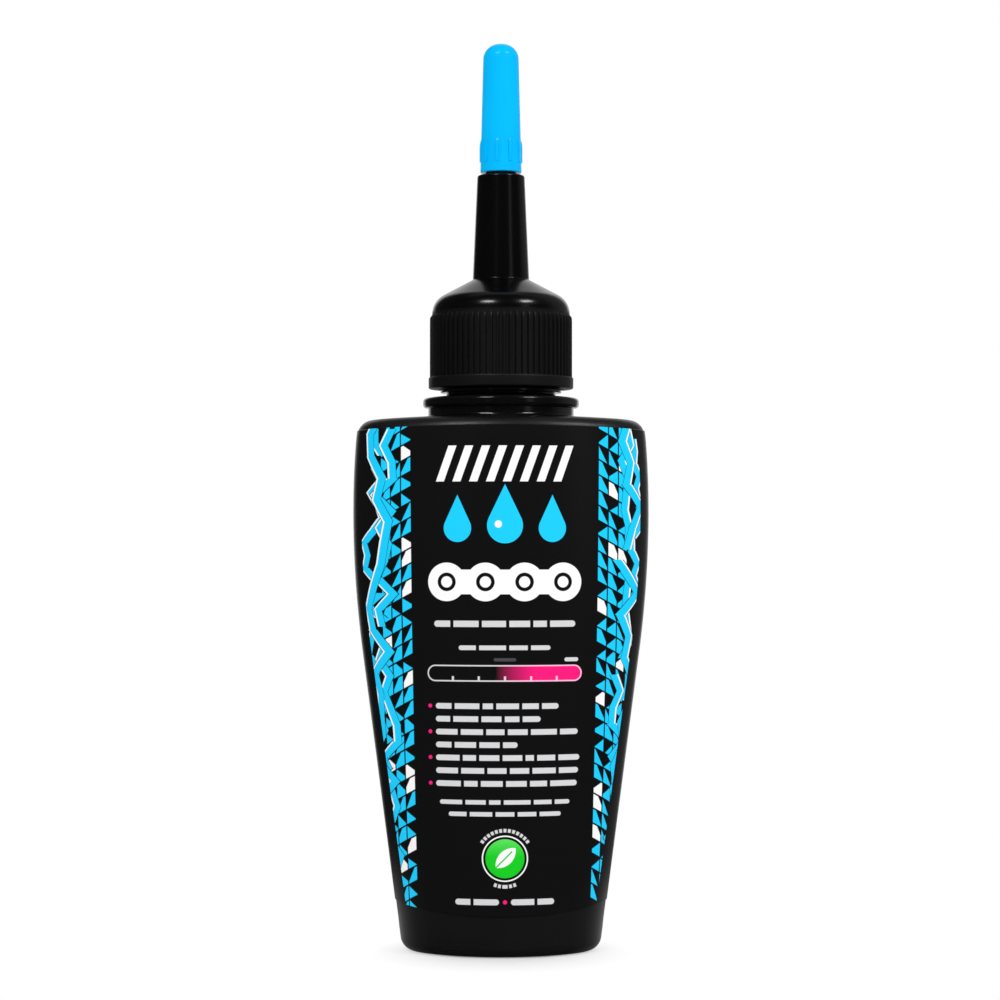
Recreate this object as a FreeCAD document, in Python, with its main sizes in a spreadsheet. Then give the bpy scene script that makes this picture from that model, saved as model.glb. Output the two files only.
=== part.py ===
"""A small squeeze bottle for chain lube: a blown oval shell, its label film, a ribbed screw cap with
a tapered spout, the sealing ring under that cap, and the push-on cap on the spout's nozzle.

Millimetres, +Z up. The origin is the middle of the foot, on the surface that the bottle stands on,
and the front faces -Y.
"""
import FreeCAD
import Part
import Sketcher
import math
import os

doc = FreeCAD.newDocument("chain_lube_bottle")

# Driving sizes, each with the words that a drawing would give it.
SIZES = (
    ("foot_width", 30.4, "body width at the surface it stands on, before its edge is rounded"),
    ("foot_depth", 20.0, "body depth there"),
    ("foot_side_radius", 7.4, "radius of the narrow sides there"),
    ("foot_edge_radius", 1.75, "rounding of the lower edge"),
    ("foot_ring", 2.25, "width of the flat ring that the bottle stands on"),
    ("push_up", 1.0, "height of the hollow under the foot, inside that ring"),
    ("hip_height", 46.4, "height where the straight taper ends"),
    ("hip_width", 42.6, "body width there"),
    ("hip_depth", 24.2, "body depth there"),
    ("hip_side_radius", 8.6, "radius of the narrow sides there"),
    ("widest_height", 67.8, "height of the widest place"),
    ("body_width", 45.4, "body width there"),
    ("body_depth", 25.6, "body depth there"),
    ("body_side_radius", 9.2, "radius of the narrow sides there"),
    ("shoulder_height", 82.1, "height of the shoulder at the neck"),
    ("shoulder_width", 43.7, "body width at the shoulder, before its edge is rounded"),
    ("shoulder_land", 1.25, "how far its front and back stand out of the neck, before that rounding"),
    ("shoulder_side_radius", 8.8, "radius of the narrow sides there"),
    ("shoulder_drop", 0.6, "fall of the crowned shoulder from the neck to its sides"),
    ("shoulder_edge_radius", 2.0, "rounding of the upper edge"),
    ("wall", 1.1, "wall of the blown shell"),
    ("neck_root_diameter", 22.5, "neck between the shoulder and the bead"),
    ("neck_root_cove", 0.6, "hollow rounding where the neck grows out of the shoulder"),
    ("bead_lift", 1.4, "clear height from the shoulder to the bead"),
    ("bead_reach", 0.82, "how far the carrying bead stands out of that neck"),
    ("bead_thickness", 1.5, "height of the bead's nose"),
    ("bead_slope", 0.4, "rise of the bead's upper face from its nose to the neck"),
    ("bead_edge_radius", 0.55, "rounding of the bead's nose"),
    ("neck_diameter", 16.8, "outside of the neck's wall above the bead"),
    ("stop_ring_lift", 0.85, "clear height from the bead's nose to the thin ring above it"),
    ("stop_ring_thickness", 0.5, "height of that ring"),
    ("stop_ring_clearance", 0.25, "radial play between that ring and the cap's skirt"),
    ("neck_bore", 14.0, "mouth of the bottle"),
    ("throat_diameter", 18.8, "inside of the neck's root, where it widens into the body"),
    ("neck_rise", 14.4, "height of the lip above the shoulder"),
    ("lip_edge_radius", 0.4, "rounding of the lip's two edges"),
    ("label_thickness", 0.12, "label film"),
    ("label_glue", 0.03, "glue between that film and the body"),
    ("label_top_gap", 1.5, "from the crown of the shoulder down to the label's upper edge"),
    ("label_bottom_height", 6.3, "label's lower edge at the middle of the front and back"),
    ("label_bottom_bow", 85.0, "radius of that lower edge"),
    ("liner_thickness", 1.0, "sealing ring between lip and cap"),
    ("liner_bore", 11.0, "hole of the sealing ring"),
    ("liner_clearance", 0.15, "radial play of the sealing ring in the cap"),
    ("skirt_bore", 19.2, "inside of the cap's skirt"),
    ("skirt_length", 11.0, "cap's ceiling to its lower rim"),
    ("skirt_diameter", 21.3, "outside of the skirt between its ribs"),
    ("band_diameter", 22.4, "smooth band round the lower rim"),
    ("band_height", 1.8, "height of that band"),
    ("band_edge_radius", 0.25, "rounding of that band"),
    ("rib_count", 70, "grip ribs round the skirt"),
    ("rib_height", 0.36, "how far a rib stands out of the skirt"),
    ("rib_width", 0.62, "width of a rib at its root"),
    ("rib_crest", 0.2, "width of a rib at its crest"),
    ("rib_length", 9.7, "length of a rib, up from the band"),
    ("dome_side", 2.57, "height of the dome's side above the ceiling, before its edge is rounded"),
    ("dome_rise", 3.33, "rise of the dome from there to the spout"),
    ("dome_edge_radius", 3.2, "rounding of the dome's edge"),
    ("seat_bore", 13.2, "hollow of the dome inside the ring that presses on the seal"),
    ("seat_rise", 1.2, "straight side of that hollow"),
    ("spout_base_diameter", 8.74, "spout where it leaves the dome"),
    ("spout_base_cove", 0.2, "hollow rounding there"),
    ("spout_top_diameter", 7.32, "spout at its upper step"),
    ("spout_length", 16.2, "dome to that step"),
    ("spout_edge_radius", 0.35, "rounding of that step"),
    ("nozzle_base_diameter", 4.7, "nozzle where it leaves the step"),
    ("nozzle_tip_diameter", 3.1, "nozzle at its tip"),
    ("nozzle_length", 15.0, "step to tip"),
    ("channel_diameter", 5.0, "flow channel where it enters the spout"),
    ("channel_drop", 1.8, "channel's lower end below the spout's base"),
    ("orifice_diameter", 1.3, "hole in the nozzle's tip"),
    ("orifice_length", 2.5, "straight length of that hole"),
    ("tip_gap", 0.4, "tip cap's rim above the step of the spout"),
    ("tip_length", 20.0, "tip cap's height"),
    ("tip_rim_diameter", 6.42, "tip cap at its rim"),
    ("tip_top_diameter", 5.4, "tip cap at its top, before that is rounded"),
    ("tip_top_radius", 2.4, "rounding of its top"),
    ("tip_clearance", 0.08, "radial play of the tip cap on the nozzle"),
    ("tip_seat_gap", 0.1, "play between the nozzle's tip and the ceiling of the tip cap"),
    ("tip_rib_count", 10, "grip ribs round the tip cap"),
    ("tip_rib_width", 0.5, "width of such a rib"),
    ("tip_rib_reach", 3.33, "its outer face, from the axis"),
    ("tip_rib_start", 1.6, "its lower end, above the rim"),
    ("tip_rib_straight", 2.6, "its straight length"),
    ("tip_rib_fade", 2.2, "further length over which it runs out"),
    ("overrun", 1.0, "how far a cutting outline reaches past what it cuts"),
)

sheet = doc.addObject("Spreadsheet::Sheet", "Sizes")
for row, (alias, amount, words) in enumerate(SIZES, start=1):
    sheet.set(f"A{row}", words)
    sheet.set(f"B{row}", str(amount))
    sheet.setAlias(f"B{row}", alias)
doc.recompute()

# Heights that several pieces share, as expressions on the sheet.
BEAD_BOTTOM = "Sizes.shoulder_height + Sizes.bead_lift"
BEAD_TOP = f"{BEAD_BOTTOM} + Sizes.bead_thickness"
LIP = "Sizes.shoulder_height + Sizes.neck_rise"
CEILING = f"{LIP} + Sizes.liner_thickness"
CAP_RIM = f"{CEILING} - Sizes.skirt_length"
BAND_TOP = f"{CAP_RIM} + Sizes.band_height"
DOME_EDGE = f"{CEILING} + Sizes.dome_side"
SPOUT_BASE = f"{DOME_EDGE} + Sizes.dome_rise"
SPOUT_TOP = f"{SPOUT_BASE} + Sizes.spout_length"
NOZZLE_TIP = f"{SPOUT_TOP} + Sizes.nozzle_length"
TIP_RIM = f"{SPOUT_TOP} + Sizes.tip_gap"
TIP_TOP = f"{TIP_RIM} + Sizes.tip_length"
FLOOR = "Sizes.push_up + Sizes.wall"
CAVITY_TOP = "Sizes.shoulder_height - Sizes.shoulder_drop - Sizes.wall"

# The shoulder is deep enough for the neck that stands on it.
SHOULDER_DEPTH = "Sizes.neck_root_diameter + 2 * Sizes.shoulder_land"


def number(expression):
    """The present value of an expression on the sheet."""
    return float(sheet.evalExpression(expression))


def half(alias):
    """A radius, or half a width, from the sheet."""
    return f"Sizes.{alias} / 2"


def new_body(label):
    """An empty body under the name of its piece."""
    body = doc.addObject("PartDesign::Body", label)
    body.Label = label
    body.Placement = FreeCAD.Placement()
    return body


def origin_feature(body, role):
    """One of a body's own origin planes or axes."""
    return next(item for item in body.Origin.OriginFeatures if item.Role == role)


def new_sketch(body, name, plane, height="0"):
    """An empty sketch on a body's origin plane, raised along that plane's normal."""
    sketch = body.newObject("Sketcher::SketchObject", name)
    sketch.AttachmentSupport = [(origin_feature(body, plane), "")]
    sketch.MapMode = "FlatFace"
    sketch.setExpression("AttachmentOffset.Base.z", height)
    return sketch


def bind(sketch, constraint, name, expression):
    """Adds a dimension to a sketch and ties it to the sheet."""
    index = sketch.addConstraint(constraint)
    sketch.renameConstraint(index, name)
    sketch.setExpression(f"Constraints.{name}", expression)


def place(sketch, element, point, name, across, up):
    """Fixes one point of a sketch at two expressions, where "0" is the axis itself."""
    if across == "0":
        sketch.addConstraint(Sketcher.Constraint("PointOnObject", element, point, -2))
    else:
        offset = Sketcher.Constraint("DistanceX", -1, 1, element, point, number(across))
        bind(sketch, offset, f"{name}_across", across)
    if up == "0":
        sketch.addConstraint(Sketcher.Constraint("PointOnObject", element, point, -1))
    else:
        offset = Sketcher.Constraint("DistanceY", -1, 1, element, point, number(up))
        bind(sketch, offset, f"{name}_up", up)


def arc_between(start, end, radius):
    """The short arc of a given radius, counter-clockwise from start to end."""
    chord = end - start
    middle = (start + end) * 0.5
    inward = FreeCAD.Vector(-chord.y, chord.x, 0).normalize()
    centre = middle + inward * math.sqrt(radius ** 2 - (chord.Length / 2) ** 2)
    angles = [math.atan2(point.y - centre.y, point.x - centre.x) for point in (start, end)]
    return Part.ArcOfCircle(Part.Circle(centre, FreeCAD.Vector(0, 0, 1), radius), *angles)


def outline(body, name, plane, corners, height="0"):
    """A closed outline through corners given as expressions. A third value in a corner is the radius
    of the arc, counter-clockwise, that leads from it to the next corner."""
    sketch = new_sketch(body, name, plane, height)
    points = [FreeCAD.Vector(number(corner[0]), number(corner[1]), 0) for corner in corners]
    count = len(corners)
    for index, corner in enumerate(corners):
        start = points[index]
        end = points[(index + 1) % count]
        if len(corner) == 3:
            sketch.addGeometry(arc_between(start, end, number(corner[2])))
        else:
            sketch.addGeometry(Part.LineSegment(start, end))
    for index in range(count):
        following = (index + 1) % count
        sketch.addConstraint(Sketcher.Constraint("Coincident", index, 2, following, 1))
    for index, corner in enumerate(corners):
        place(sketch, index, 1, f"corner{index}", corner[0], corner[1])
        if len(corner) == 3:
            radius = Sketcher.Constraint("Radius", index, number(corner[2]))
            bind(sketch, radius, f"bow{index}", corner[2])
    return sketch


def oval(body, name, height, half_width, half_depth, side_radius):
    """A closed section of the bottle: a bowed front and back, joined by rounder sides."""
    sketch = new_sketch(body, name, "XY_Plane", height)
    depth = number(half_depth)
    radius = number(side_radius)
    reach = number(half_width) - radius
    bow = (reach ** 2 + depth ** 2 - radius ** 2) / (2 * (depth - radius))
    turn = math.atan2(bow - depth, reach)
    arcs = (
        ((0, bow - depth), bow, turn - math.pi, -turn),
        ((reach, 0), radius, -turn, turn),
        ((0, depth - bow), bow, turn, math.pi - turn),
        ((-reach, 0), radius, math.pi - turn, math.pi + turn),
    )
    for centre, size, first, last in arcs:
        circle = Part.Circle(FreeCAD.Vector(*centre, 0), FreeCAD.Vector(0, 0, 1), size)
        sketch.addGeometry(Part.ArcOfCircle(circle, first, last))
    front, right, back, left = range(len(arcs))
    start, end, middle = 1, 2, 3
    axis_across, axis_up = -1, -2
    sketch.addConstraint(Sketcher.Constraint("Tangent", front, end, right, start))
    sketch.addConstraint(Sketcher.Constraint("Tangent", right, end, back, start))
    sketch.addConstraint(Sketcher.Constraint("Coincident", back, end, left, start))
    sketch.addConstraint(Sketcher.Constraint("Coincident", left, end, front, start))
    for face in (front, back):
        sketch.addConstraint(Sketcher.Constraint("Symmetric", face, start, face, end, axis_up))
    sketch.addConstraint(Sketcher.Constraint("PointOnObject", right, middle, axis_across))
    sketch.addConstraint(Sketcher.Constraint("Equal", left, right))
    bind(sketch, Sketcher.Constraint("Radius", right, radius), "side_radius", side_radius)
    side_centre = Sketcher.Constraint("DistanceX", -1, 1, right, middle, reach)
    bind(sketch, side_centre, "side_centre", f"{half_width} - ({side_radius})")
    for face, sign, word in ((front, -1, "front"), (back, 1, "back")):
        peak = sketch.addGeometry(Part.Point(FreeCAD.Vector(0, sign * depth, 0)), True)
        sketch.addConstraint(Sketcher.Constraint("PointOnObject", peak, 1, face))
        place(sketch, peak, 1, word, "0", f"{sign} * ({half_depth})")
    return sketch


def body_sections(body, prefix, growth, lowest, highest):
    """The sections of the bottle's form from the foot to the shoulder, each grown by one amount."""

    def mean(first, second, share):
        return f"Sizes.{first} * {1 - share} + Sizes.{second} * {share}"

    # The flank lies halfway up a straight taper. The chest lies on a curve that starts along that
    # taper and ends upright at the widest place, so it has three quarters of the width to gain.
    middle, rising = 0.5, 0.75
    levels = {
        "foot": (lowest, "foot", "foot", middle),
        "flank": ("Sizes.hip_height / 2", "foot", "hip", middle),
        "hip": ("Sizes.hip_height", "hip", "hip", middle),
        "chest": (mean("hip_height", "widest_height", middle), "hip", "body", rising),
        "widest": ("Sizes.widest_height", "body", "body", middle),
        "shoulder": (highest, "shoulder", "shoulder", middle),
    }
    sketches = []
    for level, (height, low, high, share) in levels.items():
        width = mean(f"{low}_width", f"{high}_width", share)
        depth = SHOULDER_DEPTH if level == "shoulder" else mean(f"{low}_depth", f"{high}_depth", share)
        radius = mean(f"{low}_side_radius", f"{high}_side_radius", share)
        sketches.append(oval(body, f"{prefix}_{level}", height, f"({width}) / 2 + {growth}",
                             f"({depth}) / 2 + {growth}", f"{radius} + {growth}"))
    return sketches


def loft(body, kind, name, sections):
    """A smooth form through closed sections, added to a body or taken from it."""
    doc.recompute()
    feature = body.newObject(f"PartDesign::{kind}Loft", name)
    feature.Profile = sections[0]
    feature.Sections = sections[1:]
    doc.recompute()
    return feature


def turned(body, kind, name, profile):
    """A Revolution or Groove of a profile about the upright axis."""
    doc.recompute()
    feature = body.newObject(f"PartDesign::{kind}", name)
    feature.Profile = profile
    feature.ReferenceAxis = (profile, ["V_Axis"])
    feature.Angle = 360
    doc.recompute()
    return feature


def cut_across(body, name, profile):
    """A pocket through everything, to both sides of its sketch."""
    doc.recompute()
    feature = body.newObject("PartDesign::Pocket", name)
    feature.Profile = profile
    feature.SideType = "Symmetric"
    feature.Type = "ThroughAll"
    doc.recompute()
    return feature


def around(body, name, original, count):
    """Equal copies of a feature round the upright axis."""
    feature = body.newObject("PartDesign::PolarPattern", name)
    feature.Originals = [original]
    feature.Axis = (origin_feature(body, "Z_Axis"), [""])
    feature.Angle = 360
    feature.setExpression("Occurrences", count)
    body.Tip = feature
    doc.recompute()
    return feature


def round_edges(body, name, base, edges, radius):
    """A rounding of some edges of a feature, given by their numbers."""
    if not edges:
        raise RuntimeError(f"{name}: no edge found to round")
    feature = body.newObject("PartDesign::Fillet", name)
    feature.Base = (base, [f"Edge{index}" for index in edges])
    feature.setExpression("Radius", radius)
    doc.recompute()
    return feature


def rims(shape, radius, height):
    """Numbers of the circular edges about the upright axis with one radius and height."""
    near = 1e-4
    found = []
    for index, edge in enumerate(shape.Edges, start=1):
        if not isinstance(edge.Curve, Part.Circle):
            continue
        centre = edge.Curve.Center
        if abs(edge.Curve.Radius - number(radius)) < near and abs(centre.z - number(height)) < near:
            if math.hypot(centre.x, centre.y) < near:
                found.append(index)
    return found


def edges_round_axis(shape, radius, lowest, highest):
    """Numbers of the edges that keep one distance from the upright axis between two heights."""
    near = 1e-3
    found = []
    for index, edge in enumerate(shape.Edges, start=1):
        points = edge.discretize(5)
        level = all(number(lowest) - near < point.z < number(highest) + near for point in points)
        if level and all(abs(math.hypot(point.x, point.y) - number(radius)) < near for point in points):
            found.append(index)
    return found


def edges_of_face_at(shape, point):
    """Numbers of the edges round the face on which a point lies."""
    near = 1e-4
    spot = Part.Vertex(point)
    face = next(face for face in shape.Faces if face.distToShape(spot)[0] < near)
    return [index for index, edge in enumerate(shape.Edges, start=1)
            if any(edge.isSame(side) for side in face.Edges)]


def above_crown(lowered):
    """Corners of a cut above the crown of the shoulder, an arc across the width that is highest at the
    neck, or above that arc lowered by some amount. The cut runs past both sides."""
    bow = f"(({half('body_width')}) ^ 2 + Sizes.shoulder_drop ^ 2) / (2 * Sizes.shoulder_drop)"
    reach = "(max(Sizes.body_width; Sizes.shoulder_width) / 2 + Sizes.overrun)"
    end = f"Sizes.shoulder_height - {lowered} - {bow} + sqrt(({bow}) ^ 2 - {reach} ^ 2)"
    above = "Sizes.shoulder_height + 2 * Sizes.overrun"
    return (
        (f"-{reach}", above),
        (reach, above),
        (reach, end, bow),
        (f"-{reach}", end),
    )


def make_bottle():
    """The blown shell: an oval body with a crowned shoulder, a beaded neck and a hollow foot."""
    body = new_body("bottle")
    top = "Sizes.shoulder_height + Sizes.overrun"
    loft(body, "Additive", "outer_form", body_sections(body, "outer", "0", "0", top))
    crown_outline = outline(body, "crown_outline", "XZ_Plane", above_crown("0"))
    crown = cut_across(body, "shoulder_crown", crown_outline)
    shoulder = FreeCAD.Vector(0, 0, number("Sizes.shoulder_height"))
    upper_edge = edges_of_face_at(crown.Shape, shoulder)
    crown = round_edges(body, "shoulder_edge", crown, upper_edge, "Sizes.shoulder_edge_radius")
    lower_edge = edges_of_face_at(crown.Shape, FreeCAD.Vector())
    round_edges(body, "foot_edge", crown, lower_edge, "Sizes.foot_edge_radius")

    # The neck starts inside the shoulder, so that it grows out of it all round.
    sunk = "Sizes.shoulder_height - Sizes.shoulder_drop - Sizes.shoulder_edge_radius"
    bead_radius = f"{half('neck_root_diameter')} + Sizes.bead_reach"
    ring_radius = f"{half('skirt_bore')} - Sizes.stop_ring_clearance"
    ring_bottom = f"{BEAD_TOP} + Sizes.stop_ring_lift"
    ring_top = f"{ring_bottom} + Sizes.stop_ring_thickness"
    neck = turned(body, "Revolution", "neck", outline(body, "neck_profile", "XZ_Plane", (
        ("0", sunk),
        (half("neck_root_diameter"), sunk),
        (half("neck_root_diameter"), BEAD_BOTTOM),
        (bead_radius, BEAD_BOTTOM),
        (bead_radius, BEAD_TOP),
        (half("neck_diameter"), f"{BEAD_TOP} + Sizes.bead_slope"),
        (half("neck_diameter"), ring_bottom),
        (ring_radius, ring_bottom),
        (ring_radius, ring_top),
        (half("neck_diameter"), ring_top),
        (half("neck_diameter"), LIP),
        ("0", LIP),
    )))
    bead = [index for level in (BEAD_BOTTOM, BEAD_TOP)
            for index in rims(neck.Shape, bead_radius, level)]
    neck = round_edges(body, "bead_nose", neck, bead, "Sizes.bead_edge_radius")
    root = edges_round_axis(neck.Shape, half("neck_root_diameter"), sunk, "Sizes.shoulder_height")
    round_edges(body, "neck_cove", neck, root, "Sizes.neck_root_cove")

    # The inside: the body's form less its wall, and a throat that narrows to the mouth.
    hollow = loft(body, "Subtractive", "inner_form",
                  body_sections(body, "inner", "(-Sizes.wall)", FLOOR, CAVITY_TOP))
    hollow = turned(body, "Groove", "mouth", outline(body, "mouth_profile", "XZ_Plane", (
        ("0", f"{CAVITY_TOP} - Sizes.overrun"),
        (half("throat_diameter"), f"{CAVITY_TOP} - Sizes.overrun"),
        (half("throat_diameter"), CAVITY_TOP),
        (half("neck_bore"), BEAD_TOP),
        (half("neck_bore"), f"{LIP} + Sizes.overrun"),
        ("0", f"{LIP} + Sizes.overrun"),
    )))
    lip = [index for size in ("neck_diameter", "neck_bore")
           for index in rims(hollow.Shape, half(size), LIP)]
    hollow = round_edges(body, "lip_edges", hollow, lip, "Sizes.lip_edge_radius")

    # The hollow under the foot leaves a flat ring to stand on.
    inset = "Sizes.foot_edge_radius - Sizes.foot_ring"
    foot = oval(body, "foot_outline", "0", f"{half('foot_width')} - {inset}",
                f"{half('foot_depth')} - {inset}", f"Sizes.foot_side_radius - {inset}")
    doc.recompute()
    pocket = body.newObject("PartDesign::Pocket", "foot_hollow")
    pocket.Profile = foot
    pocket.Reversed = True
    pocket.setExpression("Length", "Sizes.push_up")
    doc.recompute()
    return body


def make_label_sleeve():
    """The label film, which follows the body's form all round between its two cut edges."""
    body = new_body("label_sleeve")
    top = "Sizes.shoulder_height + Sizes.overrun"
    inside = "Sizes.label_glue"
    outside = f"{inside} + Sizes.label_thickness"
    loft(body, "Additive", "film_outside", body_sections(body, "outside", outside, "0", top))
    loft(body, "Subtractive", "film_inside", body_sections(body, "inside", inside, "0", top))

    upper_outline = outline(body, "upper_outline", "XZ_Plane", above_crown("Sizes.label_top_gap"))
    cut_across(body, "upper_trim", upper_outline)
    reach = "Sizes.body_width"
    bow = "Sizes.label_bottom_bow"
    side = f"Sizes.label_bottom_height + {bow} - sqrt({bow} ^ 2 - {reach} ^ 2)"
    cut_across(body, "lower_trim", outline(body, "lower_outline", "XZ_Plane", (
        (f"-{reach}", side, bow),
        (reach, side),
        (reach, "-Sizes.overrun"),
        (f"-{reach}", "-Sizes.overrun"),
    )))
    return body


def make_cap_liner():
    """The flat sealing ring that lies on the lip, under the ceiling of the cap."""
    body = new_body("cap_liner")
    rim = f"{half('skirt_bore')} - Sizes.liner_clearance"
    turned(body, "Revolution", "ring", outline(body, "ring_profile", "XZ_Plane", (
        (half("liner_bore"), LIP),
        (rim, LIP),
        (rim, CEILING),
        (half("liner_bore"), CEILING),
    )))
    return body


def make_spout_cap():
    """The screw cap: skirt, dome and spout in one moulding, with ribs to grip it by."""
    body = new_body("spout_cap")
    channel_end = f"{SPOUT_BASE} - Sizes.channel_drop"
    cap = turned(body, "Revolution", "cap_form", outline(body, "cap_profile", "XZ_Plane", (
        (half("skirt_bore"), CAP_RIM),
        (half("band_diameter"), CAP_RIM),
        (half("band_diameter"), BAND_TOP),
        (half("skirt_diameter"), BAND_TOP),
        (half("skirt_diameter"), DOME_EDGE),
        (half("spout_base_diameter"), SPOUT_BASE),
        (half("spout_top_diameter"), SPOUT_TOP),
        (half("nozzle_base_diameter"), SPOUT_TOP),
        (half("nozzle_tip_diameter"), NOZZLE_TIP),
        (half("orifice_diameter"), NOZZLE_TIP),
        (half("orifice_diameter"), f"{NOZZLE_TIP} - Sizes.orifice_length"),
        (half("channel_diameter"), channel_end),
        (half("seat_bore"), f"{CEILING} + Sizes.seat_rise"),
        (half("seat_bore"), CEILING),
        (half("skirt_bore"), CEILING),
    )))
    edge = rims(cap.Shape, half("skirt_diameter"), DOME_EDGE)
    cap = round_edges(body, "dome_edge", cap, edge, "Sizes.dome_edge_radius")
    base = rims(cap.Shape, half("spout_base_diameter"), SPOUT_BASE)
    cap = round_edges(body, "spout_cove", cap, base, "Sizes.spout_base_cove")
    step = rims(cap.Shape, half("spout_top_diameter"), SPOUT_TOP)
    cap = round_edges(body, "spout_edge", cap, step, "Sizes.spout_edge_radius")
    band = [index for level in (CAP_RIM, BAND_TOP)
            for index in rims(cap.Shape, half("band_diameter"), level)]
    round_edges(body, "band_edges", cap, band, "Sizes.band_edge_radius")

    # One rib is a low ridge on the skirt, sunk by its own height so that it is joined all along.
    root = f"{half('skirt_diameter')} - Sizes.rib_height"
    crest = f"{half('skirt_diameter')} + Sizes.rib_height"
    rib = body.newObject("PartDesign::Pad", "rib")
    rib.Profile = outline(body, "rib_outline", "XY_Plane", (
        (root, "-Sizes.rib_width / 2"),
        (half("skirt_diameter"), "-Sizes.rib_width / 2"),
        (crest, "-Sizes.rib_crest / 2"),
        (crest, "Sizes.rib_crest / 2"),
        (half("skirt_diameter"), "Sizes.rib_width / 2"),
        (root, "Sizes.rib_width / 2"),
    ), height=BAND_TOP)
    rib.setExpression("Length", "Sizes.rib_length")
    doc.recompute()
    around(body, "ribs", rib, "Sizes.rib_count")
    return body


def make_tip_cap():
    """The push-on cap of the nozzle, with its own short ribs."""
    body = new_body("tip_cap")
    ceiling = f"{NOZZLE_TIP} + Sizes.tip_seat_gap"
    # The nozzle's taper is carried on to the rim and the ceiling of the tip cap.
    taper = "(Sizes.nozzle_base_diameter - Sizes.nozzle_tip_diameter) / (2 * Sizes.nozzle_length)"
    inside_rim = f"{half('nozzle_base_diameter')} - Sizes.tip_gap * {taper} + Sizes.tip_clearance"
    inside_top = f"{half('nozzle_tip_diameter')} - Sizes.tip_seat_gap * {taper} + Sizes.tip_clearance"
    cap = turned(body, "Revolution", "cap_form", outline(body, "cap_profile", "XZ_Plane", (
        (inside_rim, TIP_RIM),
        (half("tip_rim_diameter"), TIP_RIM),
        (half("tip_top_diameter"), TIP_TOP),
        ("0", TIP_TOP),
        ("0", ceiling),
        (inside_top, ceiling),
    )))
    crown = rims(cap.Shape, half("tip_top_diameter"), TIP_TOP)
    round_edges(body, "crown", cap, crown, "Sizes.tip_top_radius")

    low = f"{TIP_RIM} + Sizes.tip_rib_start"
    straight = f"{low} + Sizes.tip_rib_straight"
    root = f"({inside_rim} + {half('tip_rim_diameter')}) / 2"
    rib = body.newObject("PartDesign::Pad", "rib")
    rib.Profile = outline(body, "rib_outline", "XZ_Plane", (
        (root, low),
        ("Sizes.tip_rib_reach", low),
        ("Sizes.tip_rib_reach", straight),
        (root, f"{straight} + Sizes.tip_rib_fade"),
    ))
    rib.SideType = "Symmetric"
    rib.setExpression("Length", "Sizes.tip_rib_width")
    doc.recompute()
    around(body, "ribs", rib, "Sizes.tip_rib_count")
    return body


pieces = (make_bottle(), make_label_sleeve(), make_cap_liner(), make_spout_cap(), make_tip_cap())
doc.recompute()

for item in doc.Objects:
    if "Invalid" in item.State or "Error" in item.State:
        raise RuntimeError(f"{item.Name} failed: {item.State}")
for piece in pieces:
    if piece.Shape.isNull() or not piece.Shape.isValid() or len(piece.Shape.Solids) != 1:
        raise RuntimeError(f"{piece.Label} is not one valid solid")

os.makedirs("parts", exist_ok=True)
for piece in pieces:
    piece.Shape.exportStep(f"parts/{piece.Label}.step")
    print(f"{piece.Label}: {piece.Shape.Volume:.1f} mm3, {len(piece.Shape.Faces)} faces")
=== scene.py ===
"""Looks of a small squeeze bottle for chain lube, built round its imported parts: the blown shell, the
printed film on it, the sealing ring, the ribbed screw cap with its spout, and the blue tip cap.

Sizes are in millimetres and heights are above the surface that the bottle stands on. The front
faces -Y, and meshes are turned into metres when they are made.
"""
import math

import bpy
import numpy as np
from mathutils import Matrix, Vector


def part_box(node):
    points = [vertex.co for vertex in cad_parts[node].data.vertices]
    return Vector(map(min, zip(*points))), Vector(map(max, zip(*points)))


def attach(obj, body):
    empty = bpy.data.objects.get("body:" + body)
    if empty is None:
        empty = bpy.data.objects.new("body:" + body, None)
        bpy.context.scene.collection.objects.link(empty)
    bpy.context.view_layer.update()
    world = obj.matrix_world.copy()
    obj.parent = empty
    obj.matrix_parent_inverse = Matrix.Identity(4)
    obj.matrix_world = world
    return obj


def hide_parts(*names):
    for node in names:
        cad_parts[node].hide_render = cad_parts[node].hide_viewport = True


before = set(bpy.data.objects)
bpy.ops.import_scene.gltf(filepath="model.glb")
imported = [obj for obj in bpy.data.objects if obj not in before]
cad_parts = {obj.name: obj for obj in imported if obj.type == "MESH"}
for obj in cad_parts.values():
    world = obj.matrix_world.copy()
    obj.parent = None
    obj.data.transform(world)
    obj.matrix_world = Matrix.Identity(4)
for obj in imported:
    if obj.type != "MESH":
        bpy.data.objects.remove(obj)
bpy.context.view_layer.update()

# The bottle: one blown shell of black polyethylene, a tapered oval with a crowned shoulder.
# Its mould parts along the narrow sides. The neck above the shoulder carries a bead, a thin stop
# ring and the thread that the cap winds up on, and it stays open at the lip.
MM = 0.001
bottle_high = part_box("bottle")[1] / MM
LIP = bottle_high.z

# Height, half width, half depth and side radius of the sections that shape the body.
FOOT = np.array((0.0, 15.2, 10.0, 7.4))
HIP = np.array((46.4, 21.3, 12.1, 8.6))
WIDEST = np.array((67.8, bottle_high.x, bottle_high.y, 9.2))
SHOULDER = np.array((83.1, 21.85, 12.5, 8.8))

CROWN = 82.1
CROWN_FALL = 0.6
CROWN_BOW = (WIDEST[1] ** 2 + CROWN_FALL ** 2) / (2 * CROWN_FALL)
CROWN_BLEND = 8
SHOULDER_EDGE = 2.0
FOOT_EDGE = 1.75
FOOT_RING = 2.25
PUSH_UP = 1.0
PUSH_UP_EDGE = 0.3
PUSH_UP_MARGIN = 0.4
WALL = 1.1

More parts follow.
